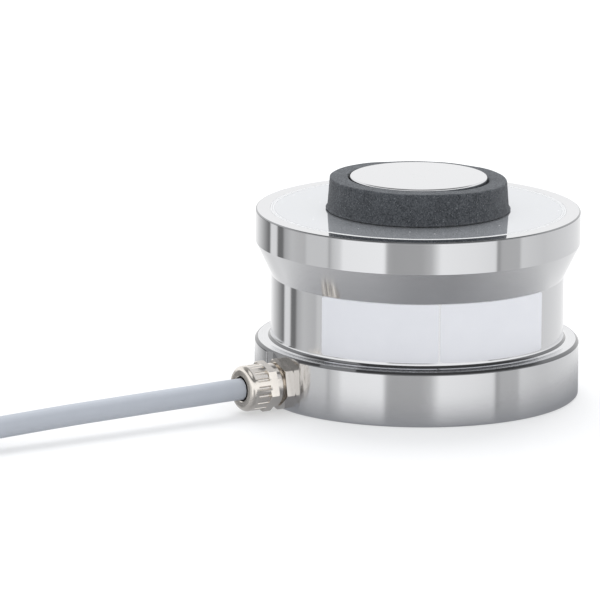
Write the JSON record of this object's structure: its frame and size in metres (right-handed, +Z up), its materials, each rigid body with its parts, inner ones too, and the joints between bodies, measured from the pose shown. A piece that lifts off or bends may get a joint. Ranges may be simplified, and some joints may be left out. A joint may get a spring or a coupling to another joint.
{
  "type": "ring torsion load cell",
  "caption": "Round steel compression load cell with ring torsion spring, load button in a foam dust ring, cable gland and coiled connecting cable.",
  "frame": {"origin": "on the cell's axis, at the standing face of the base flange", "axes": "+Z up along the cell's axis, out of the load button; -X out of the cable gland"},
  "size_m": [0.2891, 0.1471, 0.065],
  "materials": {
    "stainless_steel": "fine turned and polished",
    "polished_cover": "mirror polished sheet",
    "foam": "closed-cell foam",
    "label": "satin film",
    "gauge_foil": "etched foil on resin",
    "lead_enamel": "wire enamel",
    "circuit_board": "solder mask",
    "solder": "solder",
    "resistor": "lacquer",
    "nickel_resistor": "lacquer",
    "nickel_plate": "bright nickel plated",
    "black_rubber": "moulded",
    "potting": "moulding compound",
    "cable_sheath": "satin sheath",
    "core_black": "core insulation",
    "core_blue": "core insulation",
    "core_white": "core insulation",
    "core_red": "core insulation",
    "shrink_sleeve": "shrunk sleeve",
    "shield_sleeve": "sleeve over the shield",
    "tie_plastic": "nylon",
    "ferrule_collar": "moulded",
    "ferrule_tin": "tinned"
  },
  "bodies": {
    "root": {"measuring_body": "stainless_steel", "top_cover": "polished_cover", "bottom_cover": "polished_cover", "foam_ring": "foam", "label_left": "label", "label_right": "label", "upper_inner_gauge": "gauge_foil", "upper_outer_gauge": "gauge_foil", "lower_inner_gauge": "gauge_foil", "lower_outer_gauge": "gauge_foil", "upper_gauge_leads": "lead_enamel", "lower_gauge_leads": "lead_enamel", "terminal_board": "circuit_board", "lead_solder_joints": "solder", "core_solder_joints": "solder", "nickel_resistors": "nickel_resistor", "bridge_resistors": "resistor", "gland_body": "nickel_plate", "gland_gasket": "black_rubber", "gland_seal": "black_rubber", "clamping_insert": "black_rubber", "cap_nut": "nickel_plate", "entry_potting": "potting", "inner_core_black": "core_black", "inner_core_blue": "core_blue", "inner_core_white": "core_white", "inner_core_red": "core_red", "cable": "cable_sheath", "cable_coil": "cable_sheath", "cable_tail": "cable_sheath", "coil_ties": "tie_plastic", "end_sleeve": "shrink_sleeve", "end_core_black": "core_black", "end_core_blue": "core_blue", "end_core_white": "core_white", "end_core_red": "core_red", "shield_wire": "shield_sleeve", "ferrule_collars": "ferrule_collar", "ferrule_pins": "ferrule_tin"}
  },
  "joints": []
}
